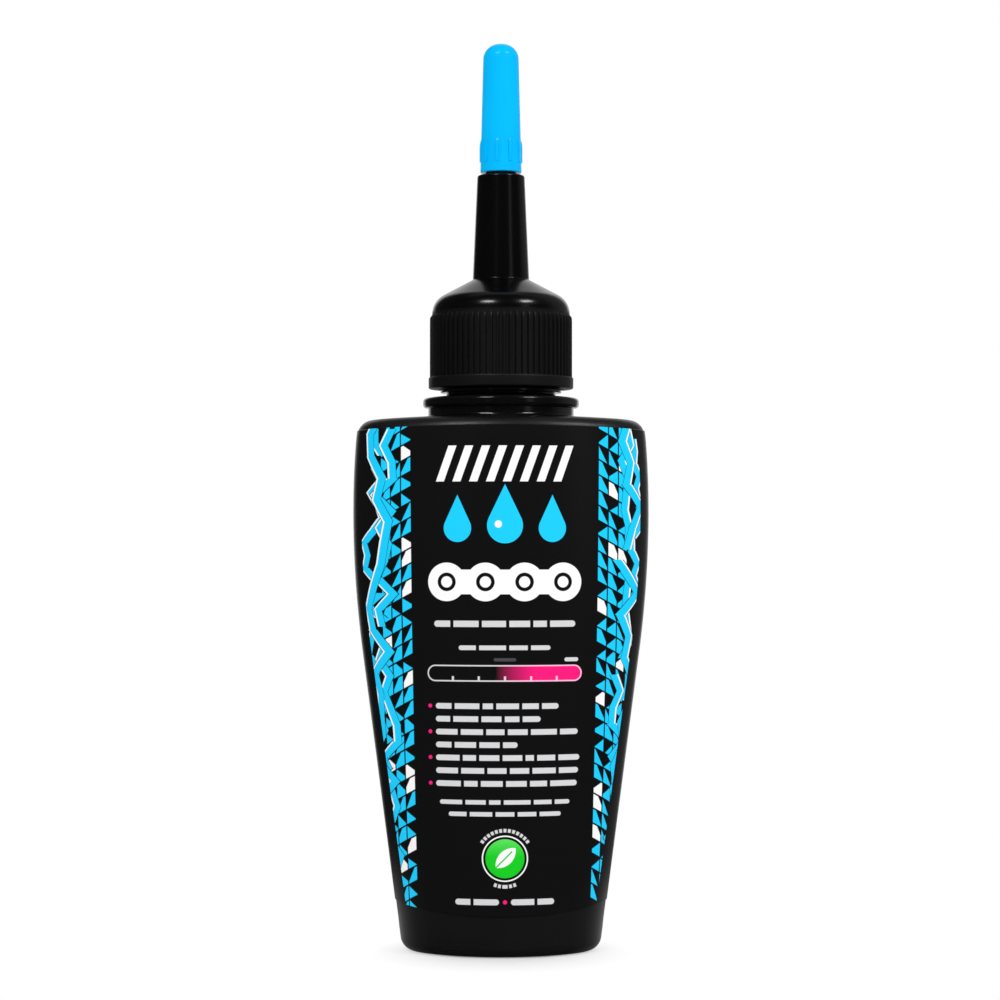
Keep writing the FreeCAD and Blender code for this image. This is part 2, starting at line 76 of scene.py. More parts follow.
NECK_ROOT = 11.25
NECK_COVE = 0.6
BEAD = 12.07
BEAD_BOTTOM = CROWN + 1.4
BEAD_TOP = BEAD_BOTTOM + 1.5
BEAD_LEAD = 0.35
BEAD_SLOPE = 0.4
BEAD_NOSE = 0.55
BEAD_COVE = 0.3
STOP_RING = 9.35
STOP_RING_BOTTOM = BEAD_TOP + 0.85
STOP_RING_TOP = STOP_RING_BOTTOM + 0.5
STOP_RING_COVE = 0.1
NECK = 8.4
NECK_CLEAR = STOP_RING_TOP + 0.4
NECK_THREAD_BOTTOM = STOP_RING_TOP + 0.5
SMALL_EDGE = 0.12
LIP_EDGE = 0.4

MOUTH = 7.0
MOUTH_ROUNDING = 1.0
THROAT = 9.4
THROAT_EDGE = 0.5
THROAT_MARGIN = 0.8
CAVITY_TOP = CROWN - CROWN_FALL - WALL
CAVITY_EDGE = 0.8
CAVITY_MARGIN = 2.0
CAVITY_FLOOR = PUSH_UP + WALL
FLOOR_EDGE = 1.2
FLOOR_MARGIN = 2.5
WALL_ENDS = 3.0

THREAD_PITCH = 3.175
THREAD_STAND = 1.0
THREAD_FOOT = 0.75
THREAD_CREST = 0.35
THREAD_RUN_OUT = 0.09
THREAD_ROW = 0.12
NECK_THREAD_START = STOP_RING_TOP + 1.75
NECK_THREAD_WINDINGS = 1.9

PARTING_STAND = 0.05
PARTING_HALF_WIDTH = 0.2

COLUMNS = 200
PARTING_COLUMNS = np.array((0.0035, 0.0075, 0.013))
BODY_ROWS = 48
SHOULDER_ROWS = 36
SHOULDER_SAMPLES = 60
COVE_ROWS = 8
CAVITY_ROWS = 32
UNDERSIDE_SHARES = (0.2, 0.45, 0.7, 0.88)
FLOOR_SHARES = (0.85, 0.6, 0.35, 0.15)


def bottle_columns():
    """Angles of the columns of points, evenly round the axis and closer beside the parting line."""
    even = np.linspace(-math.pi, math.pi, COLUMNS, endpoint=False)
    beside = np.concatenate([side * PARTING_COLUMNS for side in (-1, 1)])
    opposite = np.concatenate((PARTING_COLUMNS - math.pi, math.pi - PARTING_COLUMNS))
    return np.sort(np.concatenate((even, beside, opposite)))


def body_section(height):
    """Half width, half depth and side radius of the body at a height: a straight taper up to the hip,
    then a swell that is upright at the widest place and draws in again to the shoulder."""
    if height < HIP[0]:
        return FOOT[1:] + (HIP - FOOT)[1:] * height / HIP[0]
    end = HIP if height < WIDEST[0] else SHOULDER
    return WIDEST[1:] + (end - WIDEST)[1:] * ((height - WIDEST[0]) / (end[0] - WIDEST[0])) ** 2


def oval_reach(turn, half_width, half_depth, side_radius):
    """How far an oval of four arcs reaches from the axis at some angles."""
    across = np.abs(np.cos(turn))
    along = np.abs(np.sin(turn))
    side = half_width - side_radius
    bow = (side ** 2 + half_depth ** 2 - side_radius ** 2) / (2 * (half_depth - side_radius))
    sink = bow - half_depth
    on_side = side * across + np.sqrt(np.maximum(side_radius ** 2 - (side * along) ** 2, 0))
    on_bow = np.sqrt(bow ** 2 - (sink * across) ** 2) - sink * along
    return np.where(on_side * along * side <= (on_side * across - side) * sink, on_side, on_bow)


def crown_fall(across):
    """How far the crowned shoulder lies under its middle, at some distance across the width."""
    return CROWN_BOW - np.sqrt(CROWN_BOW ** 2 - across ** 2)


def body_reach(turn, height, inset=0.0):
    """How far the body reaches at a height, taken in all round by some amount."""
    half_width, half_depth, side_radius = body_section(height) - inset
    return oval_reach(turn, half_width, half_depth, side_radius)


def ring(turn, reach, height):
    """One ring of points."""
    height = np.broadcast_to(height, turn.shape)
    return np.stack((reach * np.cos(turn), reach * np.sin(turn), height), axis=1)


def rounded(corners, arc_step=math.radians(9)):
    """Points of a profile, from corners given as a distance, a height and a rounding."""
    points = []
    for index, (out, height, rounding) in enumerate(corners):
        corner = np.array((out, height))
        if not rounding:
            points.append(corner)
            continue
        back = np.array(corners[index - 1][:2]) - corner
        ahead = np.array(corners[(index + 1) % len(corners)][:2]) - corner
        back /= np.linalg.norm(back)
        ahead /= np.linalg.norm(ahead)
        half = math.acos(np.dot(back, ahead)) / 2
        bisector = (back + ahead) / np.linalg.norm(back + ahead)
        centre = corner + bisector * rounding / math.sin(half)
        first, last = (math.atan2(*(corner + side * rounding / math.tan(half) - centre)[::-1])
                       for side in (back, ahead))
        sweep = (last - first + math.pi) % (2 * math.pi) - math.pi
        steps = max(3, math.ceil(abs(sweep) / arc_step))
        for angle in np.linspace(first, first + sweep, steps + 1):
            points.append(centre + rounding * np.array((math.cos(angle), math.sin(angle))))
    return points


def thread(turn, height, start, windings):
    """How far a right-hand thread stands out, from 0 to 1, at some angles and one height."""
    share = np.mod(turn, 2 * math.pi) / (2 * math.pi)
    wound = np.round((height - start) / THREAD_PITCH - share) + share
    off = np.abs(height - start - THREAD_PITCH * wound)
    flank = np.clip((THREAD_FOOT - off) / (THREAD_FOOT - THREAD_CREST), 0, 1)
    ends = np.clip(np.minimum(wound, windings - wound) / THREAD_RUN_OUT, 0, 1)
    return flank ** 2 * (3 - 2 * flank) * ends ** 2 * (3 - 2 * ends)


def parting(turn, reach):
    """How far the mould's parting line stands out beside the narrow sides."""
    return PARTING_STAND * np.clip(1 - np.abs(reach * np.sin(turn)) / PARTING_HALF_WIDTH, 0, 1)


def shoulder_rings(turn):
    """Rings from the upper edge of the body, over the crowned shoulder, to the top of the neck's cove.
    Each column is followed inwards and then divided evenly, because the oval is hardly deeper than
    the neck at the front and much wider at the sides."""
    bend = np.linspace(0, math.pi / 2, SHOULDER_SAMPLES)
    flat = SHOULDER_SAMPLES - 1
    inset = SHOULDER_EDGE * (1 - np.cos(bend))
    level = CROWN - SHOULDER_EDGE * (1 - np.sin(bend))
    edge = np.array([body_reach(turn, z, d) for z, d in zip(level, inset)])
    cove = NECK_ROOT + NECK_COVE
    columns = []
    for column, angle in enumerate(turn):
        over_edge = edge[:, column]
        reach = np.concatenate((over_edge, np.linspace(over_edge[-1], cove, flat + 1)[1:]))
        height = np.concatenate((level, np.full(flat, CROWN)))
        lift = np.concatenate((np.sin(bend), np.ones(flat)))
        seam = parting(angle, reach)
        height = height - crown_fall(reach * math.cos(angle)) + seam * lift
        reach = reach + seam * (1 - lift)
        kept = reach > cove
        last = height[-1]
        if over_edge[-1] < cove:
            last = np.interp(-cove, -over_edge, height[:SHOULDER_SAMPLES])
        reach = np.append(reach[kept], cove)
        height = np.append(height[kept], last)
        run = np.concatenate(((0,), np.cumsum(np.hypot(np.diff(reach), np.diff(height)))))
        even = np.linspace(0, run[-1], SHOULDER_ROWS)
        reach_even = np.interp(even, run, reach)
        height_even = np.interp(even, run, height)
        # The cove goes on along the shoulder's slope and ends upright on the neck.
        slope = (height[-1] - height[-2]) / (reach[-1] - reach[-2])
        turn_point = height[-1] - slope * NECK_COVE
        share = np.linspace(0, 1, COVE_ROWS)[1:]
        cove_reach = cove - NECK_COVE * (1 - (1 - share) ** 2)
        cove_height = ((1 - share) ** 2 * height[-1] + 2 * share * (1 - share) * turn_point
                       + share ** 2 * (turn_point + NECK_COVE))
        columns.append((np.append(reach_even, cove_reach), np.append(height_even, cove_height)))
    reach, height = (np.array([column[part] for column in columns]).T for part in (0, 1))
    return [ring(turn, r, z) for r, z in zip(reach, height)]


def bottle_rings(turn):
    """Rings of the whole shell: up the outside from the hollow under the foot, over the lip, and down
    the inside to the floor."""
    rings = []
    hollow = FOOT_EDGE + FOOT_RING
    flat = hollow + PUSH_UP_MARGIN
    foot = rounded((
        (-flat, PUSH_UP, 0),
        (-hollow, PUSH_UP, PUSH_UP_EDGE),
        (-hollow, 0, PUSH_UP_EDGE),
        (0, 0, FOOT_EDGE),
        (0, 2 * FOOT_EDGE, 0),
    ))
    middle = body_reach(turn, PUSH_UP, flat)
    rings += [ring(turn, middle * share, PUSH_UP) for share in UNDERSIDE_SHARES]
    for out, height in foot:
        reach = body_reach(turn, height, -out)
        rings.append(ring(turn, reach + parting(turn, reach) * (out > -FOOT_EDGE), height))

    fillet_start = CROWN - SHOULDER_EDGE
    for height in np.linspace(2 * FOOT_EDGE, fillet_start, BODY_ROWS)[1:-1]:
        reach = body_reach(turn, height)
        fall = crown_fall(reach * np.cos(turn))
        rings.append(ring(turn, reach, height - fall * (height / fillet_start) ** CROWN_BLEND))
    rings += shoulder_rings(turn)

    neck = rounded((
        (NECK_ROOT, BEAD_BOTTOM - BEAD_LEAD, 0),
        (NECK_ROOT, BEAD_BOTTOM, SMALL_EDGE),
        (BEAD, BEAD_BOTTOM, BEAD_NOSE),
        (BEAD, BEAD_TOP, BEAD_NOSE),
        (NECK, BEAD_TOP + BEAD_SLOPE, BEAD_COVE),
        (NECK, STOP_RING_BOTTOM, STOP_RING_COVE),
        (STOP_RING, STOP_RING_BOTTOM, SMALL_EDGE),
        (STOP_RING, STOP_RING_TOP, SMALL_EDGE),
        (NECK, STOP_RING_TOP, SMALL_EDGE),
        (NECK, NECK_CLEAR, 0),
    ))
    rings += [ring(turn, out, height) for out, height in neck]
    for height in np.arange(NECK_THREAD_BOTTOM, LIP - 2 * LIP_EDGE, THREAD_ROW):
        stand = THREAD_STAND * thread(turn, height, NECK_THREAD_START, NECK_THREAD_WINDINGS)
        rings.append(ring(turn, NECK + stand, height))
    mouth = rounded((
        (NECK, LIP - 1.5 * LIP_EDGE, 0),
        (NECK, LIP, LIP_EDGE),
        (MOUTH, LIP, LIP_EDGE),
        (MOUTH, BEAD_TOP, MOUTH_ROUNDING),
        (THROAT, CAVITY_TOP, THROAT_EDGE),
        (THROAT + THROAT_MARGIN, CAVITY_TOP, 0),
    ))
    rings += [ring(turn, out, height) for out, height in mouth]

    ceiling = rounded((
        (-CAVITY_MARGIN, CAVITY_TOP, 0),
        (0, CAVITY_TOP, CAVITY_EDGE),
        (0, CAVITY_TOP - CAVITY_MARGIN, 0),
    ))
    heights = np.linspace(CAVITY_TOP - WALL_ENDS, CAVITY_FLOOR + WALL_ENDS, CAVITY_ROWS)
    wall = [(0, height) for height in heights]
    floor = rounded((
        (0, CAVITY_FLOOR + CAVITY_MARGIN, 0),
        (0, CAVITY_FLOOR, FLOOR_EDGE),
        (-FLOOR_MARGIN, CAVITY_FLOOR, 0),
    ))
    for out, height in (*ceiling, *wall, *floor):
        rings.append(ring(turn, body_reach(turn, height, WALL - out), height))
    middle = body_reach(turn, CAVITY_FLOOR, WALL + FLOOR_MARGIN)
    rings += [ring(turn, middle * share, CAVITY_FLOOR) for share in FLOOR_SHARES]
    return rings


CREASE = math.radians(32)


def shade_smooth(mesh):
    """Shades a mesh smooth, apart from its sharp edges."""
    mesh.shade_smooth()
    mesh.set_sharp_from_angle(angle=CREASE)


def skin(name, rings, first=None, last=None, loop=False):
    """A mesh over a row of rings that have equally many points. It can start and end in a single
    point, or be closed from its last ring to its first."""
    rings = np.asarray(rings)
    rows, columns = rings.shape[:2]
    points = rings.reshape(-1, 3)
    here = np.arange(columns)
    beside = np.roll(here, -1)
    faces = []
    for row in range(rows if loop else rows - 1):
        low = row * columns
        high = (row + 1) % rows * columns
        faces += np.stack((low + here, low + beside, high + beside, high + here), axis=1).tolist()
    if first is not None:
        faces += [(len(points), b, a) for a, b in zip(here.tolist(), beside.tolist())]
        points = np.vstack((points, first))
    if last is not None:
        end = (rows - 1) * columns
        faces += [(end + a, end + b, len(points)) for a, b in zip(here.tolist(), beside.tolist())]
        points = np.vstack((points, last))
    mesh = bpy.data.meshes.new(name)
    mesh.from_pydata((points * MM).tolist(), [], faces)
    shade_smooth(mesh)
    return mesh


def put(name, data):
    """A new object in the scene, at the origin."""
    made = bpy.data.objects.new(name, data)
    bpy.context.scene.collection.objects.link(made)
    return made


class Wire:
    """A socket of a node tree that can be reckoned with: each step adds its Math node."""

    def __init__(self, tree, socket=None):
        self.tree = tree
        self.socket = socket

    def make(self, kind, settings=None, sockets=None, output=0):
        """Any node: its settings come first, then the values or links of its sockets."""
        node = self.tree.nodes.new(kind)
        for name, value in (settings or {}).items():
            setattr(node, name, value)
        for key, values in (sockets or {}).items():
            self.feed(self.pick(node.inputs, key), values)
        return Wire(self.tree, self.pick(node.outputs, output) if node.outputs else None)

    @staticmethod
    def pick(sockets, key):
        if isinstance(key, int):
            return sockets[key]
        return next(socket for socket in sockets if key in (socket.identifier, socket.name))

    def feed(self, socket, values):
        """Links wires to a socket, or sets its value."""
        for value in values if isinstance(values, list) else [values]:
            if isinstance(value, Wire):
                self.tree.links.new(value.socket, socket)
            else:
                socket.default_value = value

    def maths(self, operation, *values):
        return self.make("ShaderNodeMath", {"operation": operation}, dict(enumerate(values)))

    def __add__(self, other):
        return self.maths("ADD", self, other)

    __radd__ = __add__

    def __mul__(self, other):
        return self.maths("MULTIPLY", self, other)

    def __sub__(self, other):
        return self.maths("SUBTRACT", self, other)

    def __rsub__(self, other):
        return self.maths("SUBTRACT", other, self)

    def __truediv__(self, other):
        return self.maths("DIVIDE", self, other)

    def __pow__(self, other):
        return self.maths("POWER", self, other)

    def __abs__(self):
        return self.maths("ABSOLUTE", self)

    def __neg__(self):
        return self.maths("MULTIPLY", self, -1.0)

    def above(self, other):
        return self.maths("GREATER_THAN", self, other)

    def floored(self):
        return self.maths("FLOOR", self)

    def least(self, other):
        return self.maths("MINIMUM", self, other)

    def most(self, other):
        return self.maths("MAXIMUM", self, other)

    def clamped(self):
        return self.most(0.0).least(1.0)

    def parts(self):
        """The three numbers of a vector."""
        split = self.make("ShaderNodeSeparateXYZ", None, {"Vector": self})
        return [Wire(self.tree, part) for part in split.socket.node.outputs]

    def mixed(self, under, over):
        """A colour that goes from one to another as this value goes from 0 to 1."""
        settings = {"data_type": "RGBA"}
        sockets = {"Factor_Float": self, "A_Color": under, "B_Color": over}
        return self.make("ShaderNodeMix", settings, sockets, "Result_Color")


def dye(red, green, blue):
    """A colour as it is seen on a screen, from 0 to 255 each, as the shader takes it."""
    shares = [channel / 255 for channel in (red, green, blue)]
    linear = [s / 12.92 if s <= 0.04045 else ((s + 0.055) / 1.055) ** 2.4 for s in shares]
    return (*linear, 1.0)


def noise(place, scale, detail=2.0):
    """Soft noise over a place, from 0 to 1, with so many lumps to a metre."""
    return place.make("ShaderNodeTexNoise", None, {"Vector": place, "Scale": scale, "Detail": detail}, "Fac")


def new_material(name):
    """A material with one principled shader, as that shader and a wire to start from."""
    material = bpy.data.materials.new(name)
    material.use_nodes = True
    return material, material.node_tree.nodes["Principled BSDF"], Wire(material.node_tree)


def finish_surface(shader, colour, roughness, relief, strength, depth):
    """Feeds what varies over a surface to its shader, with a relief of some depth."""
    bump = relief.make("ShaderNodeBump", None, {
        "Strength": strength, "Distance": depth * MM, "Height": relief})
    for name, value in (("Base Color", colour), ("Roughness", roughness), ("Normal", bump)):
        relief.feed(shader.inputs[name], value)


CLOUDS = 140.0
SKIN_GRAIN = 2600.0
SKIN_RELIEF = 0.35
SCUFF_LEAN = (0.3, 0.5, 0.2)
SCUFF_LUMPS = (900.0, 700.0, 60.0)
SCUFF_START = 0.7
SCUFF_CONTRAST = 6.0
POLISH_RUN = 0.6
POLISH_FLATTENS = 0.7


def moulded_plastic(name, dark, light, roughness, uneven, grain_depth, shine=0.5, polished_and_shaded=None):
    """Dyed plastic as it leaves its mould: a faintly cloudy colour, gloss that varies from place to
    place, a fine skin texture and a few hairline scuffs. Above some height it can be polished and
    shaded, which is given as the height it starts at, how much smoother it is and how much darker its
    colour is painted there: painted shade, on top of the real gloss."""
    material, shader, wire = new_material(name)
    place = wire.make("ShaderNodeTexCoord", None, None, "Object")
    cloud = noise(place, CLOUDS, 3.0)
    scuff_place = wire.make("ShaderNodeMapping", None, {
        "Vector": place, "Rotation": SCUFF_LEAN, "Scale": SCUFF_LUMPS})
    scuffs = ((noise(scuff_place, 1.0, 1.0) - SCUFF_START) * SCUFF_CONTRAST).clamped()
    colour = (cloud * 0.8 + scuffs * 0.15).clamped().mixed(dark, light)
    gloss = roughness + (cloud - 0.5) * uneven + scuffs * 0.06
    texture = noise(place, SKIN_GRAIN) + scuffs * 0.1
    if polished_and_shaded:
        start, smoother, painted_shade = polished_and_shaded
        polish_and_shade = ((place.parts()[2] - start * MM) / (POLISH_RUN * MM)).clamped()
        # Painted shade: above the start height the colour is darkened towards black, besides the smoother
        # gloss.
        colour = (polish_and_shade * painted_shade).mixed(colour, (0.0, 0.0, 0.0, 1.0))
        gloss = gloss * (1 - polish_and_shade * smoother)
        texture = texture * (1 - polish_and_shade * POLISH_FLATTENS)
    shader.inputs["Specular IOR Level"].default_value = shine
    finish_surface(shader, colour, gloss, texture, SKIN_RELIEF, grain_depth)
    return material


bottle_shell = put("bottle_shell", skin(
    "bottle_shell", bottle_rings(bottle_columns()), (0, 0, PUSH_UP), (0, 0, CAVITY_FLOOR)))
# From just under the crown upwards, the shoulder's top, neck and bead get painted shade: a darker colour,
# besides their gloss.
bottle_shell.data.materials.append(moulded_plastic(
    "black_polyethylene", dye(13, 13, 13), dye(21, 21, 22), roughness=0.37, uneven=0.1,
    grain_depth=0.012, polished_and_shaded=(CROWN - 0.5, 0.57, 0.6)))
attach(bottle_shell, "bottle")
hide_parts("bottle")

# The label: a sleeve of thin black film, printed on its outside and glued flat round the body, from
# just under the rounded shoulder to a lower edge that is cut in a bow. Wedges of cut chips and jagged
# bolts stand beside a plain front panel with marks in white, blue, pink and green.
FILM_GLUE = 0.03
FILM = 0.11
FILM_EDGE = 0.06
FILM_EDGE_SHARE = 0.0008
FILM_TOP_GAP = 1.5
FILM_BOTTOM = 6.3
FILM_BOTTOM_BOW = 85.0
FILM_COLUMNS = 240
FILM_ROWS = 56
UNPRINTED = 999.0


def film_rings():
    """Rings up the outside of the film and down its inside, and where each of their points lies in
    the flat print: across from the middle of the front, up, and short of the narrow side."""
    turn = math.pi / 2 + np.linspace(0, 2 * math.pi, FILM_COLUMNS + 1)
    low_across = body_reach(turn, FILM_BOTTOM) * np.cos(turn)
    low = FILM_BOTTOM + FILM_BOTTOM_BOW - np.sqrt(FILM_BOTTOM_BOW ** 2 - low_across ** 2)
    crown = CROWN - crown_fall(body_reach(turn, CROWN - SHOULDER_EDGE) * np.cos(turn))
    outside, inside, places = [], [], []
    even = np.linspace(0, 1, FILM_ROWS - 2)[1:-1]
    for share in (0.0, FILM_EDGE_SHARE, *even, 1 - FILM_EDGE_SHARE, 1.0):
        height = low + share * (crown - FILM_TOP_GAP - low)
        rise = np.clip(height - (crown - SHOULDER_EDGE), 0, None)
        inset = SHOULDER_EDGE - np.sqrt(SHOULDER_EDGE ** 2 - rise ** 2)
        body = np.array([body_reach(angle, z, d) for angle, z, d in zip(turn, height, inset)])
        thinned = FILM_EDGE if share in (0.0, 1.0) else 0.0
        points = ring(turn, body + FILM_GLUE + FILM - thinned, height)
        steps = np.hypot(*np.diff(points[:, :2], axis=0).T)
        across = np.concatenate(((0,), np.cumsum(steps))) - steps.sum() / 2
        places.append(np.stack((across, height, steps.sum() / 4 - np.abs(across)), axis=1))
        outside.append(points[:-1])
        inside.append(ring(turn, body + FILM_GLUE, height)[:-1])
    return outside + inside[::-1], np.array(places)


def print_corners(places):
    """The place in the print of each corner of the film's faces. Only the outside is printed."""
    low, high = places[:-1], places[1:]
    printed = np.stack((low[:, :-1], low[:, 1:], high[:, 1:], high[:, :-1]), axis=2).reshape(-1, 3)
    unprinted = 4 * FILM_COLUMNS * (FILM_ROWS + 1)
    return np.vstack((printed, np.full((unprinted, 3), UNPRINTED)))


INK_EDGE = 0.06
OUT_OF_REACH = 9.0

BLACK_INK = dye(15, 15, 16)
GREY_INK = dye(74, 72, 75)
WHITE_INK = dye(250, 250, 250)
SOFT_WHITE_INK = dye(214, 214, 216)
BLUE_INK = dye(0, 206, 255)
PINK_INK = dye(255, 0, 124)
PALE_PINK_INK = dye(255, 190, 220)
GREEN_INK = dye(0, 208, 22)
PALE_GREEN_INK = dye(120, 245, 120)


def inked(distance):
    """How much ink lies at a signed distance from the edge of a shape."""
    return (0.5 - distance / INK_EDGE).clamped()


def together(*shapes):
    """Distance from the nearest of several shapes."""
    whole = shapes[0]
    for shape in shapes[1:]:
        whole = whole.least(shape)
    return whole


def slant(across, up):
    """Length of the slant over two legs."""
    return (across ** 2.0 + up ** 2.0) ** 0.5


def bar(across, up, left, right, middle, height):
    """Distance from a bar with round ends."""
    radius = height / 2
    beyond = (abs(across - (left + right) / 2) - ((right - left) / 2 - radius)).most(0.0)
    return slant(beyond, up - middle) - radius


def disc(across, up, middle, height, radius):
    """Distance from a round spot."""
    return slant(across - middle, up - height) - radius


def drop(across, up, middle, height, radius, tall):
    """Distance from a drop: a round spot with two straight sides that meet above it."""
    lean = radius / tall
    side = math.sqrt(1 - lean ** 2)
    above = up - height
    flank = abs(across - middle) * side + above * lean - radius
    return disc(across, up, middle, height, radius).least(flank.most(radius * lean - above))


def nearest(value, first, pitch):
    """Signed distance to the nearest of a row of even places."""
    along = (value - first) / pitch + 0.5
    return along.maths("FRACT", along) * pitch - pitch / 2


def by_chance(*places):
    """A lot from 0 to 1 for each whole number, or group of them."""
    vector = places[0].make("ShaderNodeCombineXYZ", None, dict(enumerate(places)))
    return vector.make("ShaderNodeTexWhiteNoise", {"noise_dimensions": "3D"}, {"Vector": vector}, "Value")


# The wedges: where their inner edge lies at one height and how it leans, how far they stay short of
# the narrow sides, and how far the two are shifted along one endless pattern.
WEDGE_INNER = 13.9
WEDGE_INNER_HEIGHT = 8.0
WEDGE_LEAN = 0.01
WEDGE_SHORT = 5.4
WEDGE_SHIFT = 37.3

CHIP_WIDTH = 1.75
CHIP_HEIGHT = 2.3
CHIP_LEAN = 0.5
CHIP_ROWS_END = 5.25
CHIP_TURN_SEED = 3.0
CHIP_CUT_SEED = 8.0
CHIP_SLANT = 0.7
CHIP_SLANT_SPREAD = 0.6
CHIP_CUT = 0.9
CHIP_CUT_SPREAD = 0.5
CHIP_CUT_SCALE = 0.8
CHIP_PANE = 0.57
CHIP_PANE_SCALE = 1.3
CHIP_WHITE_FROM = 0.84

# Nearest and furthest place in the wedge, length of a step, width, and seed.
BOLTS = (
    (4.4, 8.8, 1.9, 1.2, 11.0),
    (2.6, 6.4, 2.5, 1.15, 23.0),
    (3.6, 8.2, 3.3, 1.3, 41.0),
)
BOLT_GAPS = 0.08
BOLT_GAP_SEED = 500.0
BOLT_PALE_EDGE = 0.3
BOLT_SURROUND = 0.22


def corner_chips(into, run):
    """Distance from the chips of a wall of small leaning panes, each cut off at one corner or another,
    and the lot that falls to each pane."""
    across = into / CHIP_WIDTH
    along = (run + into * CHIP_LEAN) / CHIP_HEIGHT
    column = across.floored()
    row = along.floored()
    side = across - column
    rise = along - row
    flip = by_chance(column, row, CHIP_TURN_SEED)
    lot = by_chance(column, row, CHIP_CUT_SEED)
    turned = abs(side - flip.above(0.5))
    leaning = rise * (CHIP_SLANT + flip * CHIP_SLANT_SPREAD)
    cut = (turned + leaning - (CHIP_CUT + lot * CHIP_CUT_SPREAD)) * CHIP_CUT_SCALE
    pane = abs(side - 0.5).most(abs(rise - 0.5)) * CHIP_PANE_SCALE - CHIP_PANE
    return cut.most(pane), lot


def bolt(into, run, nearest_in, furthest_in, step, width, seed):
    """Distances from a jagged line that runs up the print between two depths, with gaps by chance:
    from its dark surround, from its pale edge and from its body."""
    on = run / step
    knee = on.floored()
    start, end = (by_chance(knee + shift, seed) for shift in (0.0, 1.0))
    span = furthest_in - nearest_in
    line = nearest_in + (start + (end - start) * (on - knee)) * span
    lean = (((end - start) * (span / step)) ** 2.0 + 1.0) ** 0.5
    lot = by_chance(knee, seed + BOLT_GAP_SEED)
    gap = lot.maths("LESS_THAN", lot, BOLT_GAPS) * OUT_OF_REACH
    half = width / 2
    return [abs(into - line - aside) / lean - reach + gap for aside, reach in (
        (BOLT_PALE_EDGE / 2, half + BOLT_SURROUND), (BOLT_PALE_EDGE, half), (0.0, half))]


def wedges(across, up, short):
    """The colour of the film with a wedge at each side: cut chips along its inner edge, and beyond
    them bolts of jagged line, over and under each other, each pale at one side with a dark gap round it."""
    into = abs(across) - (WEDGE_INNER + (up - WEDGE_INNER_HEIGHT) * WEDGE_LEAN)
    run = up + across.above(0.0) * WEDGE_SHIFT
    chips, lot = corner_chips(into, run)
    chip_ink = lot.above(CHIP_WHITE_FROM).mixed(BLUE_INK, WHITE_INK)
    colour = inked(chips.most(into - CHIP_ROWS_END)).mixed(BLACK_INK, chip_ink)
    for sizes in BOLTS:
        for ink, distance in zip((BLACK_INK, WHITE_INK, BLUE_INK), bolt(into, run, *sizes)):
            colour = inked(distance).mixed(colour, ink)
    return inked((-into).most(WEDGE_SHORT - short)).mixed(BLACK_INK, colour)


HEAD_UP = 74.7
HEAD_HALF_HEIGHT = 2.7
HEAD_PITCH = 2.55
HEAD_HALF = 4 * HEAD_PITCH
HEAD_LEAN = 0.36
HEAD_BAR = 0.62


def heading(across, up):
    """Distance from the row of slanted bars that heads the front panel."""
    leaned = across - (up - HEAD_UP) * HEAD_LEAN
    stroke = abs(nearest(leaned, -HEAD_HALF + HEAD_PITCH / 2, HEAD_PITCH)) - HEAD_BAR
    return stroke.most(abs(up - HEAD_UP) - HEAD_HALF_HEIGHT).most(abs(leaned) - HEAD_HALF)


# Place across, height, radius, and for a drop how far its tip stands above the middle.
LARGE_DROP = (0.0, 65.4, 2.7, 6.2)
SMALL_DROPS = (7.2, 65.0, 2.1, 5.0)
GLINT = (-1.0, 65.6, 0.55)

CHAIN_UP = 56.9
PIN_PITCH = 5.9
CHAIN_HALF = 1.5 * PIN_PITCH
PLATE = 2.9
PLATE_WAIST = 3.7
PLATE_HOLE = 1.4
PIN = 0.85
PLATE_PAST_END = 2.95
PIN_PAST_END = 1.0


def chain(across, up):
    """Distance from a run of chain: round plates with a waist between them, and a pin in each hole."""
    from_pin = slant(nearest(across, -CHAIN_HALF, PIN_PITCH), up - CHAIN_UP)
    past_end = abs(across) - CHAIN_HALF
    waist = bar(across, up, -CHAIN_HALF, CHAIN_HALF, CHAIN_UP, PLATE_WAIST)
    plates = (from_pin - PLATE).most(past_end - PLATE_PAST_END).least(waist)
    return plates.most(PLATE_HOLE - from_pin).least((from_pin - PIN).most(past_end - PIN_PAST_END))


WORD = 3.4
WORD_SPACE = 0.5
WORD_SHIFT = 0.5


def words(across, up, rows, height, seed):
    """Distance from rows of plain bars in the lengths of words, each row given by its two ends and its
    height. Spaces fall near even places, but none at the ends of a row."""
    bars = []
    for index, (left, right, middle) in enumerate(rows):
        count = max(1, round((right - left) / WORD))
        pitch = (right - left) / count
        along = (across - left) / pitch
        space = along.maths("ROUND", along)
        shift = (by_chance(space, seed + index) - 0.5) * WORD_SHIFT
        at_end = abs(space - count / 2).above(count / 2 - 0.5)
        gap = WORD_SPACE / 2 - abs(along - space - shift) * pitch - at_end * OUT_OF_REACH
        bars.append(bar(across, up, left, right, middle, height).most(gap))
    return together(*bars)


# The list's rows: their heights and right ends. Every other row opens with a dot.
LIST_LEFT = -10.6
LIST_ROWS = ((38.2, 8.2), (36.25, 5.4), (34.3, 11.3), (32.35, 1.9), (30.4, 11.6), (28.45, 11.4), (26.5, 11.2))
LIST_DOT = -11.5
LOWEST_ROW = 8.6
DOTS = (*((LIST_DOT, height, 0.3) for height, end in LIST_ROWS[::2]), (0.0, LOWEST_ROW, 0.32))

# Left end, right end and middle of each row, height of the bars, and seed.
SMALL_PRINT = (
    ([(LIST_LEFT, end, height) for height, end in LIST_ROWS], 0.85, 3.0),
    ([(-10.0, 10.0, 23.7), (-8.6, 8.6, 21.9)], 0.66, 31.0),
    ([(-10.8, 10.8, 50.6)], 0.95, 47.0),
    ([(-7.0, 6.9, 47.0)], 0.7, 61.0),
    ([(-7.6, -0.9, LOWEST_ROW), (0.9, 7.6, LOWEST_ROW)], 0.9, 71.0),
)
MIDDLE_MARK = ([(-1.7, 1.7, 45.2)], 0.5, 83.0)

